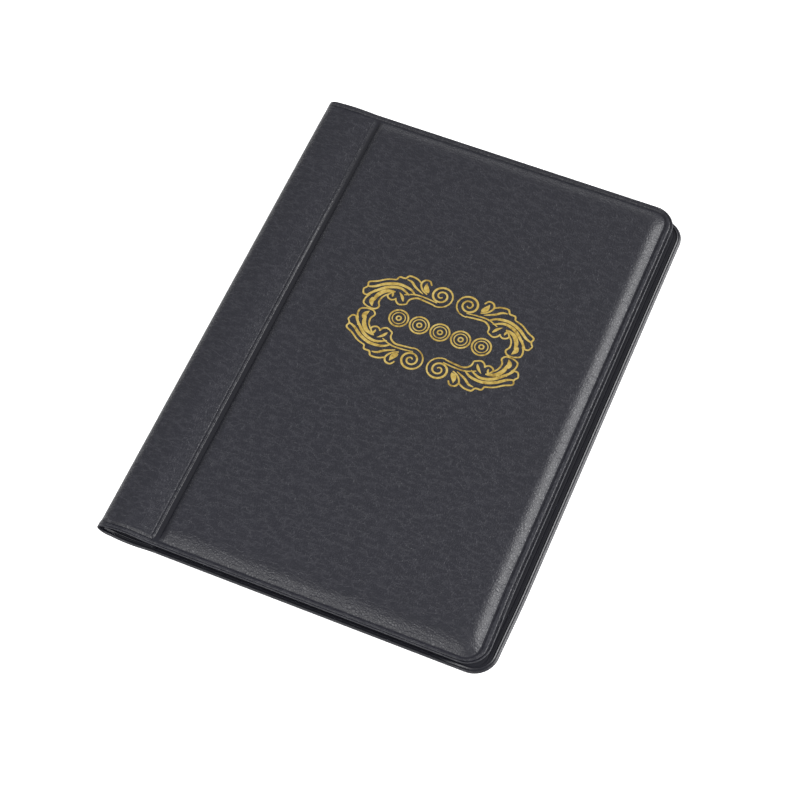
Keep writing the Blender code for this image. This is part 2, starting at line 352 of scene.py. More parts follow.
def leatherette(name):
    """Grained vinyl, which is smooth where the sheet is marked as welded."""
    made, tree, shader = new_material(name)
    flat = unrolled_place(tree)
    swirl = node(tree, "ShaderNodeTexNoise", {"Vector": flat, "Scale": 0.3 / PEBBLE, "Detail": 0.6})
    curl = vector_math(tree, swirl.outputs["Color"], (GRAIN_CURL, GRAIN_CURL, 0.0), "MULTIPLY")
    borders = cell_borders(tree, vector_math(tree, flat, curl), PEBBLE)
    pebbles = value_range(tree, borders, 0.0, 1.0, (0.0, 0.30))
    lines = wrinkles(tree, flat, curl)
    raised = times(tree, pebbles, 0.5)
    grain = combine(tree, raised, times(tree, lines, 0.9), "SUBTRACT")
    # The grain's colour: painted shade in the hollows and painted highlight on the wrinkles.
    painted_grain_light = ramp(tree, combine(tree, raised, lines), GRAIN_SHADE_AND_HIGHLIGHT_COLOURS)
    pressed = weld_strength(tree)
    relief = times(tree, grain, value_range(tree, pressed, 1.0, GRAIN_LEFT_BY_WELD))
    fading = {0: pressed, 6: painted_grain_light, 7: WELD_AND_SHADE_COLOUR}
    colour = node(tree, "ShaderNodeMix", fading, data_type="RGBA").outputs[2]
    rough = value_range(tree, pebbles, 0.55, 0.42)
    rough = times(tree, rough, value_range(tree, pressed, 1.0, 0.8))
    finish_shader(tree, shader, colour, rough, relief, 0.9, GRAIN_DEPTH)
    shader.inputs["Specular IOR Level"].default_value = 0.5
    return made


LEATHERETTE = leatherette("black_leatherette")
print("leatherette has", len(LEATHERETTE.node_tree.nodes), "nodes")

# %% [markdown]
# ## A padded cover
#
# Each cover is a pad of foam and board under leatherette, welded to the lining all round.
# The welding tool leaves a flat rim with two fine pressed lines, and the leatherette rises
# from the inner line, over the foam, to a nearly flat top. Beside the spine there is no
# rim: there the tool presses a crease, with a thin bead of squeezed-out vinyl along it.
#
# The sheet is drawn as rows that run round three sides, from the crease along the foot, up
# the fore edge and back along the head. The first rows turn in under the edge as a hem.
# The others step inwards over the rim, up the slope and across the top, so every weld line
# has rows of its own and stays crisp round the corners.

# %% Sizes of the rim, slope and crease
RIM_AT_FORE_EDGE = 3.0 * MM
RIM_AT_FOOT = 1.8 * MM
SLOPE_AT_FORE_EDGE = 4.6 * MM
SLOPE_AT_FOOT = 6.6 * MM
HEM = 1.5 * MM
HEM_RAISED = 0.4 * MM
CORNER = 7.5 * MM
RIM_INNER_CORNER = 4.6 * MM
TOP_CORNER = 3.4 * MM
INNER_FACE = LINING_FACE - WELD_TOP
EDGE_AT_ROW_0 = -0.16 * MM
EDGE_SECTION = [
    (0.0, EDGE_AT_ROW_0),
    (0.03, -0.06 * MM),
    (0.08, 0.01 * MM),
    (0.20, 0.03 * MM),
    (0.34, -0.15 * MM),
    (0.48, 0.02 * MM),
    (0.72, 0.04 * MM),
    (0.90, -0.20 * MM),
    (1.00, -0.20 * MM),
    (1.16, 0.0 * MM),
]
BEAD_X = CREASE - 1.35 * MM
SEAM_X = BEAD_X
PAD_START = CREASE + 0.6 * MM
PAD_LEFT_SLOPE = 2.6 * MM
CREASE_DEPTH = 0.3 * MM
PAST_RIM = (0.95, 1.25)

# %% Rows of a cover
HEM_ROWS = [i / 16 - 1 for i in range(16)]
RIM_ROWS = [i / 30 for i in range(36)]
SLOPE_ROWS = [1.2 + 0.8 * i / 12 for i in range(12)]
TOP_ROWS = [2 + i / 24 for i in range(25)]
ROWS = HEM_ROWS + RIM_ROWS + SLOPE_ROWS + TOP_ROWS
TOP_INSET_X = 52 * MM


def insets(row):
    """How far a row lies in from the fore edge and from the foot, and its corner radius.
    Rows -1 to 0 are the hem turned in over the lining, 0 to 1 cross the rim, 1 to 2 climb
    the slope and 2 to 3 cross the top."""
    if row < 0:
        inset = HEM * (1 - (1 + row) ** 0.8)
        return inset, inset, CORNER - inset
    rim, slope, top = min(row, 1), min(max(row - 1, 0), 1), max(row - 2, 0)
    fore = RIM_AT_FORE_EDGE * rim + SLOPE_AT_FORE_EDGE * slope
    foot = RIM_AT_FOOT * rim + SLOPE_AT_FOOT * slope
    radius = CORNER + (RIM_INNER_CORNER - CORNER) * rim + (TOP_CORNER - RIM_INNER_CORNER) * slope
    fore += (TOP_INSET_X - fore) * top
    foot += (HEAD - foot) * top
    radius *= 1 - top
    return fore, foot, radius


# %% Points of a row
CORNER_STEPS = 12
SIDE_STEPS = 56
PAD_STEPS = 34
CREASE_STEPS, CREASE_PITCH = 18, 0.14
SLOPE_STEPS, SLOPE_FROM, SLOPE_PITCH = 9, 2.6, 0.4


def foot_columns(start, end):
    """X positions along the foot: close together at the crease, wider apart on the pad."""
    near = [start + CREASE_PITCH * MM * i for i in range(CREASE_STEPS)]
    near += [start + (SLOPE_FROM + SLOPE_PITCH * i) * MM for i in range(SLOPE_STEPS)]
    return near + [near[-1] + (end - near[-1]) * i / PAD_STEPS for i in range(1, PAD_STEPS + 1)]


def round_three_sides(start, fore, row):
    """The (x, y) points of one row, from the crease at the foot to the crease at the head."""
    fore_inset, foot_inset, radius = insets(row)
    foot, head = -HEAD + foot_inset, HEAD - foot_inset
    right = fore - fore_inset
    columns = foot_columns(start, right - radius)
    points = [(x, foot) for x in columns[:-1]]
    for centre, first in ((foot + radius, -90), (head - radius, 0)):
        for step in range(CORNER_STEPS + 1):
            angle = math.radians(first + 90 * step / CORNER_STEPS)
            x = right - radius + radius * math.cos(angle)
            points.append((x, centre + radius * math.sin(angle)))
        if first < 0:
            length = head - foot - 2 * radius
            side = [foot + radius + length * i / SIDE_STEPS for i in range(1, SIDE_STEPS)]
            points += [(right, y) for y in side]
    return points + [(x, head) for x in columns[-2::-1]]


# %% Drift of the fore edges
FORE_EDGE_DRIFT = {"front": -0.5 * MM, "back": 0.55 * MM}
DRIFT_ACROSS = (35 * MM, 58 * MM)
DRIFT_UP = (4 * MM - HEAD, 30 * MM - HEAD)


def drifted(which, points):
    """Soft covers aren't quite straight. Past the foot corner the front cover's fore edge
    runs in by half a millimetre, and the back cover's runs out."""
    drift = FORE_EDGE_DRIFT[which]
    return [(x + drift * ease(x, *DRIFT_ACROSS) * ease(y, *DRIFT_UP), y) for x, y in points]


row_length = len(round_three_sides(SEAM_X, fore_edge("back"), 0))
print("rows in a cover:", len(ROWS), "points in a row:", row_length)

# %% Bead along the crease
BEAD_RISE = 0.25 * MM
BEAD_WIDTH = 0.27 * MM
BEAD_LOST_AT_HEAD = 0.85
GROOVE_DEPTH = 0.12 * MM
GROOVE_WIDTH = 0.2 * MM
GROOVE_FROM_BEAD = 0.62 * MM
HEAD_END = 70 * MM


def head_share(y):
    """0 up to the middle of the album, and 1 near its head."""
    return ease(y, 0, HEAD_END)


def crease_bead(x, y):
    """The thin bead of vinyl along the crease, with a fine groove on the strip's side of
    it. The bead almost runs out at the head."""
    groove = GROOVE_DEPTH * bead(x - BEAD_X + GROOVE_FROM_BEAD, GROOVE_WIDTH)
    full = 1 - BEAD_LOST_AT_HEAD * head_share(y)
    return full * (BEAD_RISE * bead(x - BEAD_X, BEAD_WIDTH) - groove)


# %% Waviness of a soft cover
# Each wave is (its pace across the cover, its height, where its noise is read).
WAVES = ((38, 0.05 * MM, 0), (120, 0.015 * MM, 9))


def waviness(x, y, which):
    """The small unevenness of a soft cover: about a twentieth of a millimetre."""
    total = 0.0
    for pace, rise, shift in WAVES:
        total += rise * noise.noise(Vector((x * pace, y * pace, 3.0 * SIDES[which] + shift)))
    return total


# %% Hem and rim
THICK_HEM = (46 * MM, 55 * MM)
HEM_ROUNDNESS, FORE_ROUNDNESS = 3.4, 0.8
HEM_END_BEAD = 0.05 * MM
HEM_TUCK = 0.1 * MM
HEAD_ROLL = 0.10 * MM
ROLLED = (HEAD_END, 80 * MM)


def hem_rise(x, row):
    """The hem rounds over the edge, then lies on the lining with a small bead at its end.
    Along the fore edge it is thicker, and pressed to an even slope."""
    fore = ease(x, *THICK_HEM)
    over_edge = INNER_FACE - HEM_RAISED * fore - EDGE_AT_ROW_0
    roundness = HEM_ROUNDNESS - (HEM_ROUNDNESS - FORE_ROUNDNESS) * fore
    round_over = EDGE_AT_ROW_0 + over_edge * (1 - (1 + row) ** roundness)
    end_bead = HEM_END_BEAD * bead(row + 0.86, 0.12) * (1 - fore)
    tucked = (HEM_TUCK + HEM_RAISED * fore) * (row == -1.0)
    return round_over - end_bead + tucked


def rim_rise(y, row):
    """The rim's section. Along the head the roller has left it rounder."""
    head_roll = HEAD_ROLL * bead(row - 0.55, 0.3) * ease(y, *ROLLED)
    return follow(EDGE_SECTION, row) + head_roll


# %% Height of a cover
DROP_AT_FOOT = 0.6
DROP_WIDER_AT_HEAD = 0.8
SLOPE_FULLNESS = 2.1
CREASE_FULLNESS = 2.3
PAD_EDGE_RISE = 0.07 * MM
PAD_EDGE_IN = 0.45 * MM
PAD_EDGE_WIDTH = 0.3 * MM


def bulge(share, fullness):
    """Climbs from 0 to 1, steeply at first, as a filled edge does."""
    return 1 - (1 - min(max(share, 0), 1)) ** fullness


def cover_rise(which, x, y, row):
    """How far the leatherette stands out from the weld top."""
    rise = rim_rise(y, row) if row > 0 else hem_rise(x, row)
    inside = ease(row, *PAST_RIM)
    rise += crease_bead(x, y) * inside
    drop_width = (DROP_AT_FOOT + DROP_WIDER_AT_HEAD * head_share(y)) * MM
    rise -= CREASE_DEPTH * ease(x, BEAD_X, BEAD_X + drop_width) * inside
    up_from_crease = bulge((x - PAD_START) / PAD_LEFT_SLOPE, CREASE_FULLNESS)
    up_from_rim = bulge(row - 1.02, SLOPE_FULLNESS)
    rise += (PAD_RISE + CREASE_DEPTH) * (up_from_rim * up_from_crease)
    rise += PAD_EDGE_RISE * bead(x - PAD_START - PAD_EDGE_IN, PAD_EDGE_WIDTH) * inside
    uneven = waviness(x, y, which) * ease(row, 0.0, 1.5)
    return rise + uneven * ease(x, SEAM_X, BEAD_X + 4 * MM)


# %% Where the grain is pressed smooth
VALLEY_FROM = (BEAD_X + 0.15 * MM, BEAD_X + 0.45 * MM)
VALLEY_TO = (PAD_START, PAD_START + 0.5 * MM)
PULLED_GRAIN = 0.35


def pressed_mark(x, row):
    """1 where the tool has pressed the grain smooth: on the hem, in the weld lines and in the
    valley beside the bead. About a third of that on the slope, where the vinyl is pulled over
    the foam, and 0 on the soft top."""
    # The mark also turns the colour darker navy, which paints shade into the valley and the weld
    # lines.
    hem = 1 - ease(row, -0.25, -0.05)
    lines = 0.9 * bead(row - 0.95, 0.10) + 0.8 * bead(row - 0.34, 0.07)
    valley = ease(x, *VALLEY_FROM) * (1 - ease(x, *VALLEY_TO))
    pulled = PULLED_GRAIN * ease(row, 1.0, 1.15) * (1 - ease(row, 1.6, 2.1))
    pulled *= ease(x, PAD_START, PAD_START + MM)
    return min(hem + lines + pulled + valley * ease(row, 0.9, 1.1), 1.0)


# %% Covers
def cover_sheet(which):
    """The leatherette of one cover, from the crease to the fore edge."""
    rows, unrolled, marks = [], [], []
    for row in ROWS:
        flat = drifted(which, round_three_sides(SEAM_X, fore_edge(which), row))
        rises = [WELD_TOP + cover_rise(which, x, y, row) for x, y in flat]
        rows.append([(x, y, height(which, rise)) for (x, y), rise in zip(flat, rises)])
        marks.append([pressed_mark(x, row) for x, _ in flat])
        unrolled.append(flat)
    piece = woven(which + "_cover_leatherette", rows, unrolled, which == "back", marks)
    piece.data.materials.append(LEATHERETTE)
    return thicken(piece, LEATHER)


covers = {which: cover_sheet(which) for which in SIDES}
for cover in covers.values():
    print(cover.name, len(cover.data.polygons), "faces")

# %% [markdown]
# ## Spine and strips
#
# Between the two creases the same sheet runs round the spine. Seen from the foot it is a
# flat strip, half an ellipse, and another flat strip. The strip isn't padded, but the vinyl
# puffs up a little between its creases and the welded hem at each end of it.
#
# The sheet is cut at the middle of the spine, where nobody sees it. The points across its
# ends are the same as the cover's, which makes the join at the crease invisible.

# %% The strip's cross-section
SPINE_CENTRE = SPINE_BACK + SPINE_BULGE
SPINE_STEPS = 26
STRIP_STEPS = 30
STRIP_STOP = SEAM_X - 0.96 * MM
CLOSE_PITCH = 0.12 * MM


def round_spine():
    """(x, height from the middle, normal in x and height, unrolled x) round half the spine
    and along the strip."""
    points = []
    length = 0.0
    for step in range(SPINE_STEPS + 1):
        angle = math.pi / 2 * (1 - step / SPINE_STEPS)
        x, z = SPINE_CENTRE - SPINE_BULGE * math.cos(angle), WELD_TOP * math.sin(angle)
        if points:
            length += math.dist((x, z), points[-1][:2])
        normal = Vector((-math.cos(angle) / SPINE_BULGE, math.sin(angle) / WELD_TOP)).normalized()
        points.append((x, z, normal.x, normal.y, SPINE_CENTRE - length))
    points.reverse()
    run = STRIP_STOP - SPINE_CENTRE
    along = [SPINE_CENTRE + run * step / STRIP_STEPS for step in range(1, STRIP_STEPS + 1)]
    along += [STRIP_STOP + CLOSE_PITCH * step for step in range(1, 8)] + [SEAM_X]
    return points + [(x, WELD_TOP, 0.0, 1.0, x) for x in along]


def hem_levels():
    """(y, row) across a strip from foot to head, in line with the cover's rows. A strip's
    ends are cut, not turned in, so they have no hem rows."""
    foot = [(-HEAD + insets(row)[1], row) for row in ROWS if row >= 0]
    return foot + [(-y, row) for y, row in foot[-2::-1]]


# %% Height of a strip
STRIP_PUFF = 0.56 * MM
HEM_ARCH = 0.85 * MM
HEM_FLATTENS_TO = 0.35 * MM
HEM_BEAD = 0.26 * MM
HEM_GROOVE = 0.18 * MM


def foot_share(y):
    """1 at the foot, where the strip's open end has spread, and 0 at the head."""
    return 1 - ease(y, -60 * MM, 60 * MM)


def strip_share(x):
    """0 at the spine's end of a strip, and 1 at the crease."""
    return min(max((x - SPINE_BACK - SPINE_BULGE) / (SEAM_X - SPINE_BACK - SPINE_BULGE), 0), 1)


def strip_arch(x, y, row):
    """How far a strip bows outwards: not at all at its two creases, and most at its open
    foot, where nothing inside holds it."""
    bow = math.sin(math.pi * strip_share(x) ** 0.85) ** 1.15
    at_end = HEM_ARCH * (0.45 + 0.55 * foot_share(y))
    return bow * (at_end + (STRIP_PUFF - at_end) * ease(row, 1.0, 4.0))


def strip_rise(which, x, y, row, normal_up):
    """How far the strip stands out from the weld top, along its own normal."""
    on_strip = ease(normal_up, 0.55, 1.0)
    edge = rim_rise(y, row)
    if row > 0.2:
        edge *= on_strip
    hem = HEM_BEAD * bead(row - 1.12, 0.08) - HEM_GROOVE * bead(row - 0.97, 0.07)
    hem *= 0.35 + 0.65 * foot_share(y)
    flattened = HEM_FLATTENS_TO * foot_share(y) * (1 - ease(row, 0.9, 1.2)) * (1 - normal_up)
    puff = strip_arch(x, y, row) + crease_bead(x, y) * ease(row, *PAST_RIM)
    uneven = waviness(x, y, which) * on_strip * ease(strip_share(x), 1, 0.9)
    return edge + puff + hem * on_strip + flattened + uneven


# %% Strips
def strip_sheet(which):
    """The leatherette from the middle of the spine, round it and along the strip."""
    levels = hem_levels()
    rows, unrolled = [], []
    for x, up, normal_x, normal_up, flat_x in round_spine():
        line = []
        for y, row in levels:
            rise = strip_rise(which, x, y, row, normal_up)
            line.append((x + normal_x * rise, y, height(which, up + normal_up * rise)))
        rows.append(line)
        unrolled.append([(flat_x, y) for y, _ in levels])
    marks = [[pressed_mark(SEAM_X, row) for _, row in levels]] * len(rows)
    piece = woven(which + "_strip_leatherette", rows, unrolled, which == "front", marks)
    piece.data.materials.append(LEATHERETTE)
    return thicken(piece, LEATHER)


strips = {which: strip_sheet(which) for which in SIDES}
for strip in strips.values():
    print(strip.name, len(strip.data.polygons), "faces")

# %% [markdown]
# ## Lining
#
# Inside, the covers are faced with a thinner black vinyl that has a fine linen emboss. The
# same weld that presses the outer rim leaves its two lines here too. The lining also runs
# on over the creases and round the inside of the spine, where it is cut a little shorter
# than the covers.
#
# It is built just as the outer sheet is: rows round three sides for a cover, and a path
# round the spine for the rest. Its wall goes outwards, towards the leatherette.


# %% Lining material
LINEN_THREAD = 0.55 * MM
LINEN_DEPTH = 0.05 * MM
LINEN_COLOURS = [(0.1, (0.0060, 0.0063, 0.0105)), (0.8, (0.0110, 0.0112, 0.0160))]


def threads(tree, flat, direction):
    """Slightly wavy bands across the sheet in one direction."""
    inputs = {"Vector": flat, "Scale": 0.31 / LINEN_THREAD, "Distortion": 0.9}
    inputs.update({"Detail": 2.0, "Detail Scale": 2.0})
    settings = {"wave_type": "BANDS", "bands_direction": direction}
    return node(tree, "ShaderNodeTexWave", inputs, **settings).outputs["Fac"]


def linen_vinyl(name):
    """Thin vinyl with the threads of a linen cloth pressed into it."""
    made, tree, shader = new_material(name)
    flat = unrolled_place(tree)
    weave = times(tree, threads(tree, flat, "X"), threads(tree, flat, "Y"))
    patches = clouds(tree, flat, 1 / (14 * MM), 4.0)
    shade = combine(tree, times(tree, weave, 0.5), times(tree, patches, 0.5))
    colour = ramp(tree, shade, LINEN_COLOURS)
    rough = value_range(tree, shade, 0.62, 0.5)
    finish_shader(tree, shader, colour, rough, weave, 0.4, LINEN_DEPTH)
    shader.inputs["Specular IOR Level"].default_value = 0.3
    return made


LINEN_VINYL = linen_vinyl("black_linen_vinyl")
print("linen vinyl has", len(LINEN_VINYL.node_tree.nodes), "nodes")

# %% Lining of the covers
LINING_ROWS = [0.2 + i / 24 for i in range(26)] + [1.6, 2.0, 2.25, 2.5, 2.75, 3.0]
PRESSED = 0.07 * MM


def weld_lines(row):
    """How deep the weld presses the lining, across the rim."""
    return PRESSED * (bead(row - 0.54, 0.06) + bead(row - 0.98, 0.08))


def lining_piece(name, rows, unrolled, flip):
    """Weaves a piece of lining, with its material and its wall."""
    piece = woven(name, rows, unrolled, flip)
    piece.data.materials.append(LINEN_VINYL)
    return thicken(piece, LINING)


def cover_lining(which):
    """The inner sheet of one cover, from the crease to the fore edge."""
    rows, unrolled = [], []
    for row in LINING_ROWS:
        flat = drifted(which, round_three_sides(CREASE, fore_edge(which), row))
        level = LINING_FACE + weld_lines(row)
        rows.append([(x, y, height(which, level)) for x, y in flat])
        unrolled.append(flat)
    return lining_piece(which + "_cover_lining", rows, unrolled, which == "front")


cover_linings = {which: cover_lining(which) for which in SIDES}
print("cover linings:", [len(piece.data.polygons) for piece in cover_linings.values()], "faces")

# %% Path of the lining round the spine
SPINE_LINING_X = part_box("spine_lining")[1].x
SPINE_LINING_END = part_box("spine_lining")[1].y
BEND = 1.4 * MM
BEND_STEPS = 10


def lining_path():
    """(x, height from the middle, unrolled x) from mid-spine, round the bend, to the crease."""
    points = [(SPINE_LINING_X, (LINING_FACE - BEND) * i / 6) for i in range(7)]
    for step in range(1, BEND_STEPS + 1):
        angle = math.pi / 2 * step / BEND_STEPS
        across = BEND * (1 - math.cos(angle))
        points.append((SPINE_LINING_X + across, LINING_FACE - BEND * (1 - math.sin(angle))))
    start = points[-1][0]
    points += [(start + (CREASE - start) * i / 12, LINING_FACE) for i in range(1, 13)]
    runs = [0.0]
    for before, after in zip(points, points[1:]):
        runs.append(runs[-1] + math.dist(after, before))
    return [(x, up, CREASE - runs[-1] + run) for (x, up), run in zip(points, runs)]


# %% Lining of the strips and the spine
def strip_lining(which):
    """The inner sheet of one strip and of half the spine."""
    rows, unrolled = [], []
    for x, up, flat_x in lining_path():
        to_full = ease(x, SPINE_LINING_X, SPINE_LINING_X + 3 * MM)
        reach = SPINE_LINING_END + (HEAD - SPINE_LINING_END) * to_full
        line = [(-reach + insets(row)[1], row) for row in LINING_ROWS]
        line += [(-y, row) for y, row in line[-2::-1]]
        on_strip = ease(up, 0.8 * LINING_FACE, LINING_FACE)
        points = []
        for y, row in line:
            rise = weld_lines(row) * on_strip + strip_arch(x, y, row) * on_strip
            points.append((x, y, height(which, up + rise)))
        rows.append(points)
        unrolled.append([(flat_x, y) for y, _ in line])
    return lining_piece(which + "_strip_lining", rows, unrolled, which == "back")


strip_linings = {which: strip_lining(which) for which in SIDES}
print("strip linings:", [len(piece.data.polygons) for piece in strip_linings.values()], "faces")

# %% [markdown]
# ## Foam and board
#
# Inside each cover lie a greyboard and, over it, a pad of thin foam. Nobody sees the pad,
# but a cut-away does, so it is drawn as a soft slab with rounded edges, from rings of a
# rounded rectangle. The boards are stiff and flat, so they stay as the model has them and
# only need a material: grey pulp with fibres and darker flecks.


# %% Foam and greyboard materials
def speckled(name, light, dark, grain, roughness, depth):
    """A dry, matte surface with cells or fibres of this size."""
    made, tree, shader = new_material(name)
    place = node(tree, "ShaderNodeTexCoord").outputs["Object"]
    cells = node(tree, "ShaderNodeTexVoronoi", {"Vector": place, "Scale": 1 / grain})
    fibres = clouds(tree, place, 0.3 / grain, 6.0)
    mixed = combine(tree, times(tree, cells.outputs["Distance"], 0.5), times(tree, fibres, 0.6))
    colour = ramp(tree, mixed, [(0.25, dark), (0.7, light)])
    finish_shader(tree, shader, colour, roughness, mixed, 0.6, depth)
    return made


FOAM = speckled("white_foam", (0.78, 0.76, 0.70), (0.55, 0.53, 0.47), 0.5 * MM, 0.9, 0.1 * MM)
GREYBOARD = speckled("greyboard", (0.36, 0.34, 0.31), (0.20, 0.19, 0.17), 0.8 * MM, 0.85, 0.03 * MM)
for which in SIDES:
    board = frame["nodes"][which + "_board"]
    board.data.materials.clear()
    board.data.materials.append(GREYBOARD)
    print(board.name, "keeps its shape")


# %% Foam pads
FOAM_CORNER = 4 * MM
FOAM_EDGE = 0.5 * MM
FOAM_RINGS = 8


def rounded_ring(low, high, inset, radius, steps=6):
    """Points round a rectangle with rounded corners, this far inside its outline."""
    radius = max(radius - inset, 0.3 * MM)
    left, right = low.x + inset + radius, high.x - inset - radius
    foot, head = low.y + inset + radius, high.y - inset - radius
    corners = [(right, foot, -90), (right, head, 0), (left, head, 90), (left, foot, 180)]
    points = []
    for x, y, first in corners:
        for step in range(steps + 1):
            angle = math.radians(first + 90 * step / steps)
            points.append((x + radius * math.cos(angle), y + radius * math.sin(angle)))
    return points


def foam_pad(which):
    """A closed slab whose edges are rounded, as foam is when it is pressed at the rim."""
    low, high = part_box(which + "_foam_pad")
    middle, half = (low.z + high.z) / 2, (high.z - low.z) / 2
    drawn = bmesh.new()
    rings = []
    for step in range(FOAM_RINGS + 1):
        angle = math.pi * (step / FOAM_RINGS - 0.5)
        inset = FOAM_EDGE * (1 - math.cos(angle))
        level = middle + half * math.sin(angle)
        ring = rounded_ring(low, high, inset, FOAM_CORNER)
        rings.append([drawn.verts.new((x, y, level)) for x, y in ring])
    for lower, upper in zip(rings, rings[1:]):
        for index in range(len(lower)):
            after = (index + 1) % len(lower)
            drawn.faces.new((lower[index], lower[after], upper[after], upper[index]))
    drawn.faces.new(rings[0][::-1])
    drawn.faces.new(rings[-1])
    piece = drawn_piece(which + "_foam", drawn)
    piece.data.materials.append(FOAM)
    return piece


foams = {which: foam_pad(which) for which in SIDES}
print("foam pads:", [piece.name for piece in foams.values()])

# %% [markdown]
# ## Clear pages
#
# A page is two clear films welded together in a grid, which leaves three by four pockets.
# Each pocket has a mouth near its top, with a thumb notch so that a coin can be pushed
# out. Both films run on past the grid as a soft hinge, as far as the binding.
#
# The front film is one woven sheet. Its rows bend round the notches, and the faces between
# the lips of a mouth are left out. Every point also stores how strongly it is welded, and
# the material reads that to frost the weld, while the film of a pocket stays clear.

# %% Pocket layout
PAGES = [name[:7] for name in sorted(frame["nodes"]) if name.endswith("_sheet")]
PAGE_LOW, PAGE_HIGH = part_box("page_01_sheet")
BINDING_LOW, BINDING_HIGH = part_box("page_binding")
COLUMNS, POCKET_ROWS = 3, 4
WELD = 3.0 * MM
WELD_EDGE = 0.5 * MM
PAGE_CORNER = 4.0 * MM
COLUMN_PITCH = (PAGE_HIGH.x - PAGE_LOW.x - 2 * WELD) / COLUMNS
ROW_PITCH = (PAGE_HIGH.y - PAGE_LOW.y - 2 * WELD) / POCKET_ROWS
POCKET_WIDTH = COLUMN_PITCH - WELD
MOUTH = 1.6 * MM
MOUTH_HALF = POCKET_WIDTH * 0.4
MOUTH_END = 1.0 * MM
NOTCH = 6.0 * MM
print("pocket size in mm:", round(POCKET_WIDTH / MM, 1), "by", round((ROW_PITCH - WELD) / MM, 1))


# %% Columns of a page
def pocket_columns():
    """Distances of the columns from the middle of a pocket, its weld lines included."""
    half = POCKET_WIDTH / 2
    outer = [half, half - 0.35 * MM, half - 1.2 * MM, MOUTH_HALF, 10.4 * MM, 8.6 * MM, 7.0 * MM]
    notch = [NOTCH * math.sin(math.radians(angle)) for angle in (90, 72, 50, 25)]
    right = sorted(set(outer + notch))
    return [-x for x in reversed(right)] + [0.0] + right


def page_columns():
    """(x, pocket centre or None) across a page, from the binding to the fore edge."""
    start, end = BINDING_LOW.x + 0.25 * MM, BINDING_HIGH.x
    hinge = [start, start + 2 * MM, end - 0.4 * MM, end]
    hinge += [end + (PAGE_LOW.x - end) * i / 6 for i in range(1, 7)]
    columns = [(x, None) for x in hinge] + [(PAGE_LOW.x + WELD_EDGE, None)]
    for index in range(COLUMNS):
        centre = PAGE_LOW.x + WELD + COLUMN_PITCH * (index + 0.5)
        columns += [(centre + offset, centre) for offset in pocket_columns()]
    corner = PAGE_HIGH.x - PAGE_CORNER
    columns += [(corner + PAGE_CORNER * math.sin(math.radians(a)), None) for a in (35, 50, 62, 75, 90)]
    return columns


# %% Rows of a page
POCKET_STEPS = (0.0, 0.012, 0.045, 0.2, 0.4, 0.6, 0.76, 0.88, 0.96, 0.99)


def mouth_opening(x, centre):
    """(depth of the lower lip, gap) of a mouth at this column."""
    if centre is None or abs(x - centre) >= MOUTH_HALF - 1e-7:
        return MOUTH / 2, 0.0
    notch = math.sqrt(max(NOTCH**2 - (x - centre) ** 2, 0.0)) if abs(x - centre) < NOTCH else 0.0
    round_end = min(1.0, (MOUTH_HALF - abs(x - centre)) / MOUTH_END)
    lower = MOUTH / 2 + MOUTH / 2 * round_end + notch
    return lower, lower - MOUTH / 2 + MOUTH / 2 * round_end


def page_rows(x, centre):
    """(y, is a lip) up a page at this column. The faces that start at a lip are left out."""
    rows = [(PAGE_LOW.y, False), (PAGE_LOW.y + WELD_EDGE, False)]
    for index in range(POCKET_ROWS):
        foot = PAGE_LOW.y + WELD + ROW_PITCH * index + WELD / 2
        top = foot + ROW_PITCH - WELD
        lower, gap = mouth_opening(x, centre)
        lip = top - lower
        rows += [(foot + (lip - foot) * share, False) for share in POCKET_STEPS]
        rows += [(lip, True), (lip + gap, False), (top, False)]
    return rows + [(PAGE_HIGH.y - WELD_EDGE, False), (PAGE_HIGH.y, False)]


def round_corner(x, y):
    """Brings a point in, so that the page's two outer corners are round."""
    over = x - (PAGE_HIGH.x - PAGE_CORNER)
    reach = PAGE_HIGH.y - PAGE_CORNER
    if over <= 0 or abs(y) <= reach:
        return y
    limit = math.sqrt(max(PAGE_CORNER**2 - over**2, 0.0))
    return math.copysign(reach + (abs(y) - reach) * limit / PAGE_CORNER, y)


def in_mouth(columns, column):
    """True if the faces between this column and the next lie in a pocket's mouth."""
    (x, centre), (after, centre_after) = columns[column], columns[column + 1]
    if centre is None or centre != centre_after:
        return False
    return abs((x + after) / 2 - centre) < MOUTH_HALF


# %% Clear vinyl
MILKY = 0.018
CLEAR_COLOURS = [(0.2, (0.72, 0.76, 0.80)), (0.8, (0.86, 0.88, 0.90))]


def clear_vinyl(name):
    """Thin clear film: it mostly lets light through, glosses at a glance and frosts where
    it is welded."""
    made, tree, shader = new_material(name)
    flat = unrolled_place(tree)
    weld = weld_strength(tree)
    ribs = node(tree, "ShaderNodeTexChecker", {"Vector": flat, "Scale": 1 / (0.8 * MM)}).outputs["Fac"]
    ripples = clouds(tree, flat, 1 / (9 * MM), 3.0)
    frost = times(tree, weld, times(tree, value_range(tree, ribs, 0.5, 1.0), weld))
    relief = combine(tree, times(tree, frost, 0.2), ripples)
    glance = node(tree, "ShaderNodeLayerWeight", {"Blend": 0.25}).outputs["Fresnel"]
    haze = value_range(tree, frost, MILKY, MILKY + 0.12)
    tree.links.new(combine(tree, haze, times(tree, glance, 0.10)), shader.inputs["Alpha"])
    rough = value_range(tree, frost, 0.12, 0.42)
    finish_shader(tree, shader, ramp(tree, ripples, CLEAR_COLOURS), rough, relief, 0.25, 0.25 * MM)
    return made


CLEAR_VINYL = clear_vinyl("clear_vinyl_film")
print("clear vinyl has", len(CLEAR_VINYL.node_tree.nodes), "nodes")

# %% Page films
FILM = 0.13 * MM
FILM_GAP = 0.07 * MM
FILM_PUFF = 0.03 * MM
WELD_SUNK = 0.04 * MM
HINGE_FROST = 0.25


def marked_sheet():
    """An empty sheet to draw, with its layers for the weld mark and the flat position."""
    drawn = bmesh.new()
    return drawn, drawn.verts.layers.float.new(WELD_MARK), drawn.loops.layers.uv.new(GRAIN_MAP)


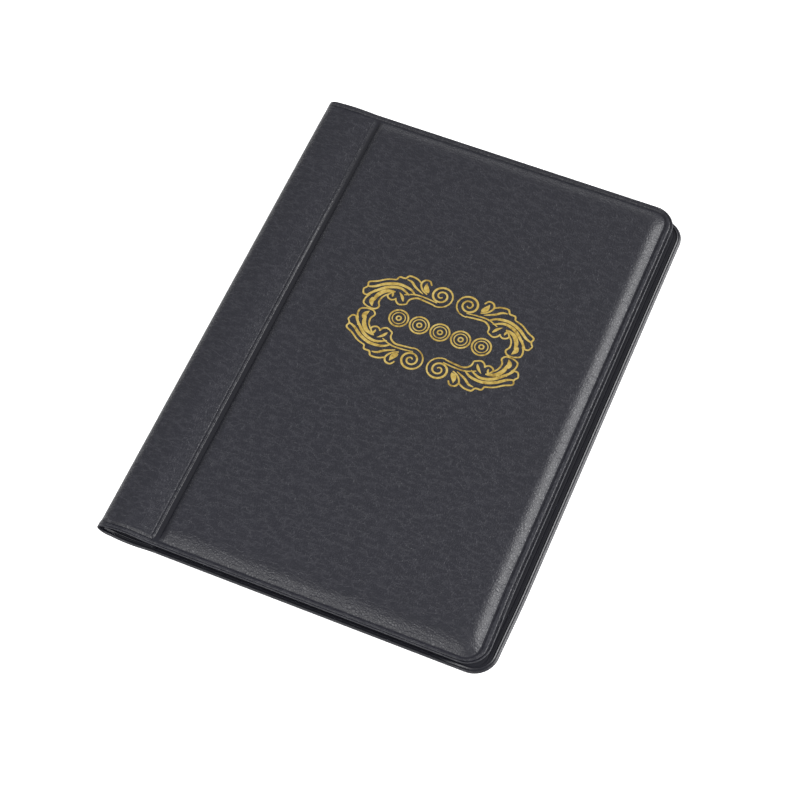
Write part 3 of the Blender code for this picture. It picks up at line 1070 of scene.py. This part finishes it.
def welded(x, y, centre):
    """1 on a weld, 0 on the clear film of a pocket."""
    if x < PAGE_LOW.x:
        return HINGE_FROST
    if centre is None:
        return 1.0
    along = (y - PAGE_LOW.y - WELD) % ROW_PITCH
    from_side = POCKET_WIDTH / 2 - abs(x - centre)
    from_end = min(along, ROW_PITCH - along) - WELD / 2
    return 1 - ease(min(from_side, from_end), -0.1 * MM, 0.4 * MM)


def film_level(page, which, weld):
    """Height of a film: the front one puffs over a pocket and sinks into a weld."""
    fold = FOLDS[page + "_turn"].z
    if which == "back":
        return fold - FILM_GAP / 2
    return fold + (FILM_GAP / 2 + FILM + FILM_PUFF * (1 - weld) - WELD_SUNK * (weld == 1.0))


def page_film(page, which):
    """One film of a page: "front" has the pockets' mouths, "back" is plain."""
    drawn, mark, flat_map = marked_sheet()
    columns = page_columns()
    lips = [is_lip for _, is_lip in page_rows(*columns[0])]
    grid = []
    for x, centre in columns:
        line = []
        for y, _ in page_rows(x, centre):
            weld = welded(x, y, centre)
            point = drawn.verts.new((x, round_corner(x, y), film_level(page, which, weld)))
            point[mark] = weld
            line.append(point)
        grid.append(line)
    for column, (left, right) in enumerate(zip(grid, grid[1:])):
        open_lips = which == "front" and in_mouth(columns, column)
        for row in range(len(left) - 1):
            if lips[row] and open_lips:
                continue
            face = drawn.faces.new((left[row], right[row], right[row + 1], left[row + 1]))
            for loop in face.loops:
                loop[flat_map].uv = loop.vert.co.xy
    bmesh.ops.remove_doubles(drawn, verts=drawn.verts, dist=2 * SAME_POINT)
    piece = drawn_piece(page + "_" + which + "_film", drawn, smooth=True)
    piece.data.materials.append(CLEAR_VINYL)
    return thicken(piece, FILM)


pages = {(page, which): page_film(page, which) for page in PAGES for which in ("front", "back")}
print(len(pages), "films with", len(pages["page_01", "front"].data.polygons), "faces each")

# %% [markdown]
# ## Binding
#
# The hinges of all ten pages are stacked and welded together inside the spine. A clear
# channel wraps their ends, and the welding bar has left a row of small crimps along it.
# The channel is one sheet bent to a C, with a wall, and the crimps are pressed into its two
# flat sides by moving the points in a regular rhythm.

# %% Path of the channel
CHANNEL_WALL = 0.22 * MM
CHANNEL_BEND = 0.7 * MM
CHANNEL_STEPS = 10
BEND_POINTS = 6


def channel_path():
    """(x, height) round the outside of the C, from its upper to its lower lip."""
    low, high = BINDING_LOW, BINDING_HIGH
    bend_x = low.x + CHANNEL_BEND
    flat = high.x - low.x - CHANNEL_BEND
    path = [(high.x - flat * i / CHANNEL_STEPS, high.z) for i in range(CHANNEL_STEPS + 1)]
    for first, bend_z in ((90, high.z - CHANNEL_BEND), (180, low.z + CHANNEL_BEND)):
        for step in range(1, BEND_POINTS + 1):
            angle = math.radians(first + 90 * step / BEND_POINTS)
            x = bend_x + CHANNEL_BEND * math.cos(angle)
            path.append((x, bend_z + CHANNEL_BEND * math.sin(angle)))
    return path + [(bend_x + flat * i / CHANNEL_STEPS, low.z) for i in range(1, CHANNEL_STEPS + 1)]


# %% Welded binding
CRIMP_PITCH = 2.4 * MM
CRIMP_DEPTH = 0.12 * MM
CRIMP_STEPS = 4


def binding_channel():
    """The clear channel round the page ends, with a crimp pressed in at each pitch."""
    drawn, mark, flat_map = marked_sheet()
    middle = (BINDING_LOW.z + BINDING_HIGH.z) / 2
    length = BINDING_HIGH.y - BINDING_LOW.y
    steps = int(length / CRIMP_PITCH) * CRIMP_STEPS
    lines = []
    for x, z in channel_path():
        share = (x - BINDING_LOW.x) / (BINDING_HIGH.x - BINDING_LOW.x)
        flat = ease(share, 0.2, 0.3) * (1 - ease(share, 0.8, 0.9))
        line = []
        for step in range(steps + 1):
            crimp = flat * (step % CRIMP_STEPS in (1, 2))
            sunk = z - math.copysign(CRIMP_DEPTH * crimp, z - middle)
            point = drawn.verts.new((x, BINDING_LOW.y + length * step / steps, sunk))
            point[mark] = 0.4 + 0.6 * crimp
            line.append(point)
        lines.append(line)
    for left, right in zip(lines, lines[1:]):
        for step in range(steps):
            face = drawn.faces.new((left[step], right[step], right[step + 1], left[step + 1]))
            for loop in face.loops:
                loop[flat_map].uv = (loop.vert.co.x + loop.vert.co.z, loop.vert.co.y)
    piece = drawn_piece("binding_channel", drawn)
    piece.data.materials.append(CLEAR_VINYL)
    return thicken(piece, CHANNEL_WALL)


channel = binding_channel()
print("binding channel:", len(channel.data.polygons), "faces")

# %% [markdown]
# ## Foil ornament
#
# A hot stamp presses gold foil into the grain of the front cover: a wreath of scrolls and
# leaves round an open window, with a row of coin outlines in the window. The wreath is
# the same in all four quarters, so one quarter is drawn and then mirrored.
#
# Each line is a ribbon: a smooth path with a width that swells and tapers as a pen's does.
# Scrolls are spirals, the solid veins are pointed drops with a bent middle, and leaves and
# stems are smooth curves through a few points. The ribbons lie on the leatherette, so each
# point takes its height from the cover itself.

# %% Ornament paths
FOIL_LOW, FOIL_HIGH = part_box("foil_ornament")
FOIL_MIDDLE = (FOIL_LOW + FOIL_HIGH) / 2
print("foil field in mm:", [round(side / MM, 1) for side in (FOIL_HIGH - FOIL_LOW).xy])


def smooth_path(knots, steps=9):
    """A smooth curve through these (across, up) points, in millimetres."""
    ends = [knots[0]] + list(knots) + [knots[-1]]
    path = []
    for index in range(len(knots) - 1):
        a, b, c, d = (Vector(point) for point in ends[index : index + 4])
        for step in range(steps):
            t = step / steps
            blend = (2 * b + (c - a) * t + (2 * a - 5 * b + 4 * c - d) * t * t) / 2
            path.append(blend + (3 * b - a - 3 * c + d) * t * t * t / 2)
    return path + [Vector(knots[-1])]


def around(centre, radius, angle):
    """The point at this distance and angle from a centre."""
    return Vector((centre[0] + radius * math.cos(angle), centre[1] + radius * math.sin(angle)))


def spiral(centre, outer, inner, first, turns, steps=46):
    """A spiral from its outer end inwards. Angles are in degrees and turns may be negative."""
    path = []
    for step in range(steps + 1):
        share = step / steps
        radius = outer + (inner - outer) * share**0.85
        path.append(around(centre, radius, math.radians(first + 360 * turns * share)))
    return path


def drop(base, tip, width, bend, steps=16):
    """Both sides of a pointed drop, whose middle bends sideways by this much."""
    base, tip = Vector(base), Vector(tip)
    along = tip - base
    across = Vector((-along.y, along.x)).normalized()
    sides = []
    for side in (1, -1):
        path = []
        for step in range(steps + 1):
            t = step / steps
            swell = math.sin(math.pi * t**0.75) ** 0.9
            bow = bend * math.sin(math.pi * t)
            path.append(base + along * t + across * (bow + side * width / 2 * swell))
        sides.append(path)
    return sides


# %% One quarter of the wreath
# Each stem and leaf edge is (its points, its width, how wide its ends stay).
SCROLL = (4.6, 12.5)
CURVES = [
    ([(5.2, 8.4), (8.6, 8.8), (11.4, 8.9), (13.3, 7.5), (13.6, 5.6)], 0.6, 0.6),
    ([(5.0, 9.6), (8.8, 10.0), (12.4, 9.9), (15.6, 8.6)], 0.5, 0.6),
    ([(8.9, 14.9), (9.9, 16.2), (11.5, 16.0), (12.2, 14.4), (11.0, 12.4), (9.0, 11.3)], 0.6, 0.7),
    ([(12.2, 14.6), (14.2, 15.6), (16.6, 15.7), (17.6, 14.4), (19.4, 14.2), (19.9, 12.9)], 0.6, 0.8),
    ([(10.2, 11.0), (13.2, 12.4), (15.2, 13.9), (16.9, 14.2)], 0.75, 0.15),
    ([(13.6, 5.6), (15.6, 4.7), (16.9, 5.3), (17.6, 6.5)], 0.55, 0.8),
    ([(17.2, 6.3), (18.6, 5.4), (20.0, 5.9), (20.2, 7.0), (18.6, 8.7)], 0.55, 0.8),
    ([(12.2, 9.6), (14.6, 11.2), (18.6, 11.6), (22.4, 10.2), (25.4, 8.0), (27.6, 7.2)], 1.0, 0.2),
    ([(14.0, 8.9), (17.4, 10.4), (21.2, 9.4), (24.4, 6.6), (26.4, 4.4)], 1.0, 0.2),
    ([(18.9, 8.6), (21.6, 7.6), (23.3, 5.2), (23.6, 2.9)], 1.35, 0.2),
    ([(19.9, 12.9), (22.6, 12.0), (25.2, 10.2), (27.6, 8.9), (27.4, 7.3), (28.3, 6.0)], 0.55, 0.8),
    ([(28.3, 6.0), (27.6, 4.4), (26.2, 4.3), (25.3, 5.4), (24.6, 7.0)], 0.55, 0.8),
    ([(20.4, 6.9), (21.6, 5.2), (21.9, 3.2), (21.2, 1.6), (22.2, 0.35), (24.4, 0.3)], 0.55, 0.8),
    ([(24.4, 0.3), (26.2, 1.2), (26.3, 3.2), (25.5, 4.7)], 0.55, 0.8),
]
# Each vein is (base, tip, width, bend).
VEINS = [
    ((8.9, 11.9), (10.6, 15.3), 1.7, -0.4),
    ((14.9, 6.1), (17.4, 9.0), 0.9, 0.25),
    ((18.7, 6.5), (19.7, 8.6), 0.7, 0.2),
    ((24.3, 4.2), (23.2, 0.9), 1.5, 0.35),
]
strokes = [(spiral(SCROLL, 4.35, 0.5, -78, -2.2), 0.62, 0.6)]
strokes += [(spiral(SCROLL, 3.3, 2.5, 140, -0.62), 0.7, 0.3)]
strokes += [(smooth_path(knots), wide, taper) for knots, wide, taper in CURVES]
fills = [drop(*vein) for vein in VEINS]
print("one quarter has", len(strokes), "lines and", len(fills), "solid veins")

# %% Ribbons on the cover
FOIL_PROUD = 0.035 * MM
FOIL_WALL = 0.05 * MM


def cover_top(x, y):
    """Height of the padded top of the front cover at this place."""
    return height("front", WELD_TOP + PAD_RISE + waviness(x, y, "front"))


def lay(drawn, left, right, lift=0.0):
    """Lays a band of foil between two paths of (across, up) points."""
    lines = []
    for side in (left, right):
        line = []
        for point in side:
            x, y = FOIL_MIDDLE.x + point.x * MM, FOIL_MIDDLE.y + point.y * MM
            line.append(drawn.verts.new((x, y, cover_top(x, y) + FOIL_PROUD + lift)))
        lines.append(line)
    for index in range(len(left) - 1):
        drawn.faces.new((lines[0][index], lines[1][index], lines[1][index + 1], lines[0][index + 1]))


def ribbon_sides(path, wide, taper):
    """Both edges of a ribbon along a path, with a pen's swell and taper."""
    left, right = [], []
    for index, point in enumerate(path):
        along = (path[min(index + 1, len(path) - 1)] - path[max(index - 1, 0)]).normalized()
        across = Vector((-along.y, along.x))
        t = index / (len(path) - 1)
        half = wide / 2 * (taper + (1 - taper) * math.sin(math.pi * t) ** 0.6)
        left.append(point + across * half)
        right.append(point - across * half)
    return left, right


# %% Wreath
LAYERS = 14
LAYER_LIFT = 0.0012 * MM


def mirrored(path, across, up):
    """A path of the first quarter, mirrored into another one."""
    return [Vector((point.x * across, point.y * up)) for point in path]


def lay_wreath(drawn):
    """Lays the quarter four times. Ribbons that cross lie a hair apart in height."""
    for across, up in ((1, 1), (1, -1), (-1, 1), (-1, -1)):
        bands = [ribbon_sides(mirrored(p, across, up), wide, taper) for p, wide, taper in strokes]
        for left, right in fills:
            pair = (mirrored(left, across, up), mirrored(right, across, up))
            bands.append(pair[::-1] if across * up < 0 else pair)
        for number, (left, right) in enumerate(bands):
            lay(drawn, left, right, LAYER_LIFT * (number % LAYERS))


# %% Row of coins
COINS = 5
COIN_PITCH = 6.9
COIN_RINGS = ((3.0, 0.55, 40), (2.05, 0.35, 40), (0.75, 0.5, 12))


def lay_coins(drawn):
    """Each coin is three rings, given by their radius, line width and steps."""
    for index in range(COINS):
        centre = (COIN_PITCH * (index - (COINS - 1) / 2), 0.0)
        for radius, wide, steps in COIN_RINGS:
            ring = [around(centre, radius, 2 * math.pi * i / steps) for i in range(steps + 1)]
            lay(drawn, *ribbon_sides(ring, wide, 1.0))


drawn = bmesh.new()
lay_wreath(drawn)
lay_coins(drawn)
foil = thicken(drawn_piece("foil_wreath", drawn), FOIL_WALL)
print("foil:", len(foil.data.polygons), "faces")

# %% [markdown]
# ## Gold foil finish
#
# Stamped foil takes the grain of the vinyl under it, so it glitters in patches and never
# mirrors. It is a warm, slightly worn gold: part metal, part lacquer, and browner where the
# foil is thin over a hollow of the grain.

# %% Gold foil material
GOLD = [(0.32, (0.30, 0.19, 0.045)), (0.46, (0.60, 0.42, 0.10)), (0.66, (0.78, 0.60, 0.20))]


def gold_foil(name):
    """Worn gold that takes the grain of the vinyl under it."""
    made, tree, shader = new_material(name)
    place = node(tree, "ShaderNodeTexCoord").outputs["Object"]
    grain = clouds(tree, place, 1 / (0.9 * MM), 4.0)
    worn = clouds(tree, place, 1 / (3.5 * MM), 2.0)
    shade = combine(tree, times(tree, grain, 0.6), times(tree, worn, 0.4))
    rough = value_range(tree, shade, 0.5, 0.3)
    finish_shader(tree, shader, ramp(tree, shade, GOLD), rough, grain, 0.5, 0.08 * MM)
    shader.inputs["Metallic"].default_value = 0.75
    return made


foil.data.materials.append(gold_foil("gold_foil"))
print("foil finish:", foil.data.materials[0].name)

# %% [markdown]
# ## Joining the pieces to the model
#
# Stiff pieces ride on a body of the model: the foam pads, the foil and the binding channel.
# The leatherette and the linings cross a fold, and the page films cross from the binding to
# their page. Here these pieces only have their places baked into their points and ride on
# no body, except the back cover's sheets: the back cover has no fold at its crease, so its
# sheets ride on it like the stiff pieces.

# %% Bodies and baked pieces
for which in SIDES:
    for piece in (strips[which], strip_linings[which]):
        if which == "front":
            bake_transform(piece)
        else:
            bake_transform(piece)
for piece in (covers["front"], cover_linings["front"]):
    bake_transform(piece)
for piece in (covers["back"], cover_linings["back"], foams["back"]):
    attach(piece, "back_cover")
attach(foams["front"], "front_cover")
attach(foil, "front_cover")
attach(channel, "spine")
for (page, which), film in pages.items():
    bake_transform(film)

# %% Hiding the model's parts that the pieces replace
for which in SIDES:
    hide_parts(which + "_cover_skin")
    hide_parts(which + "_lining")
    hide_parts(which + "_foam_pad")
    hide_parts(which + "_strip_skin", "spine_skin")
    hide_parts(which + "_strip_lining", "spine_lining")
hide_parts("foil_ornament")
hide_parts("page_binding")
for (page, which), film in pages.items():
    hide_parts(page + ("_pockets" if which == "front" else "_sheet"))
print("padded pieces:", [piece.name for piece in (*covers.values(), *foams.values())])

# %% [markdown]
# ## Floor, light and camera
#
# The album lies on a white sweep. The sky is plain white, which fills every side softly. A
# large key light low on the right and a little behind draws the bright line along the fore
# edge. A smaller light hangs near, in front of the foot: what is close to a near light is
# lit more than what is far, so the foot end of the cover comes out a little lighter than
# its head.

# %% Floor
REACH = 40.0
FLOOR_GLOW = 0.62
corners = [(-REACH, -REACH, 0), (REACH, -REACH, 0), (REACH, REACH, 0), (-REACH, REACH, 0)]
floor_mesh = bpy.data.meshes.new("floor")
floor_mesh.from_pydata(corners, [], [(0, 1, 2, 3)])
floor = new_piece("floor", floor_mesh)
white, tree, shader = new_material("white_sweep")
shader.inputs["Base Color"].default_value = (0.93, 0.93, 0.93, 1.0)
shader.inputs["Roughness"].default_value = 0.9
shader.inputs["Specular IOR Level"].default_value = 0.1
shader.inputs["Emission Color"].default_value = (1.0, 1.0, 1.0, 1.0)
shader.inputs["Emission Strength"].default_value = FLOOR_GLOW
floor_mesh.materials.append(white)
print("the floor reaches", REACH, "metres each way")

# %% Sky
SKY_STRENGTH = 0.6
scene = bpy.context.scene
world = bpy.data.worlds.new("white_sky")
world.use_nodes = True
sky = world.node_tree.nodes["Background"]
sky.inputs["Color"].default_value = (1.0, 1.0, 1.0, 1.0)
sky.inputs["Strength"].default_value = SKY_STRENGTH
scene.world = world
print("sky:", world.name)


# %% Lights
def far_light(name, direction, spread, strength):
    """A far, round light in this direction. Spread is how wide it looks, in degrees."""
    lamp = bpy.data.lights.new(name, "SUN")
    lamp.angle = math.radians(spread)
    lamp.energy = strength
    holder = new_piece(name, lamp)
    holder.rotation_euler = Vector(direction).to_track_quat("Z", "Y").to_euler()
    return holder


def near_light(name, place, size, strength):
    """A square light at this place, which looks at the middle of the floor."""
    lamp = bpy.data.lights.new(name, "AREA")
    lamp.size = size
    lamp.energy = strength
    holder = new_piece(name, lamp)
    holder.location = place
    holder.rotation_euler = (-holder.location).to_track_quat("-Z", "Y").to_euler()
    return holder


lights = [
    far_light("key", direction=(0.74, 0.45, 0.46), spread=42, strength=3.9),
    near_light("near_light", place=(-0.12, -0.52, 0.5), size=0.32, strength=2.9),
]
print("lights:", [light.name for light in lights])

# %% Camera
CAMERA_PLACE = Vector((0.1449, -0.3150, 0.5844))
CAMERA_AIM = Vector((0.00344, -0.01075, 0.0050))
CAMERA_LENS = 98.54
CAMERA_ROLL = math.radians(-2.25)
lens = bpy.data.cameras.new("camera")
lens.lens = CAMERA_LENS
lens.sensor_width = 36.0
lens.clip_start = 0.01
camera = new_piece("camera", lens)
aim = (CAMERA_AIM - CAMERA_PLACE).to_track_quat("-Z", "Y").to_matrix().to_4x4()
roll = Matrix.Rotation(CAMERA_ROLL, 4, "Z")
camera.matrix_world = Matrix.Translation(CAMERA_PLACE) @ aim @ roll
scene.camera = camera
scene.view_settings.view_transform = "Standard"
scene.cycles.transparent_max_bounces = 96
print("camera distance in mm:", round((CAMERA_AIM - CAMERA_PLACE).length / MM))
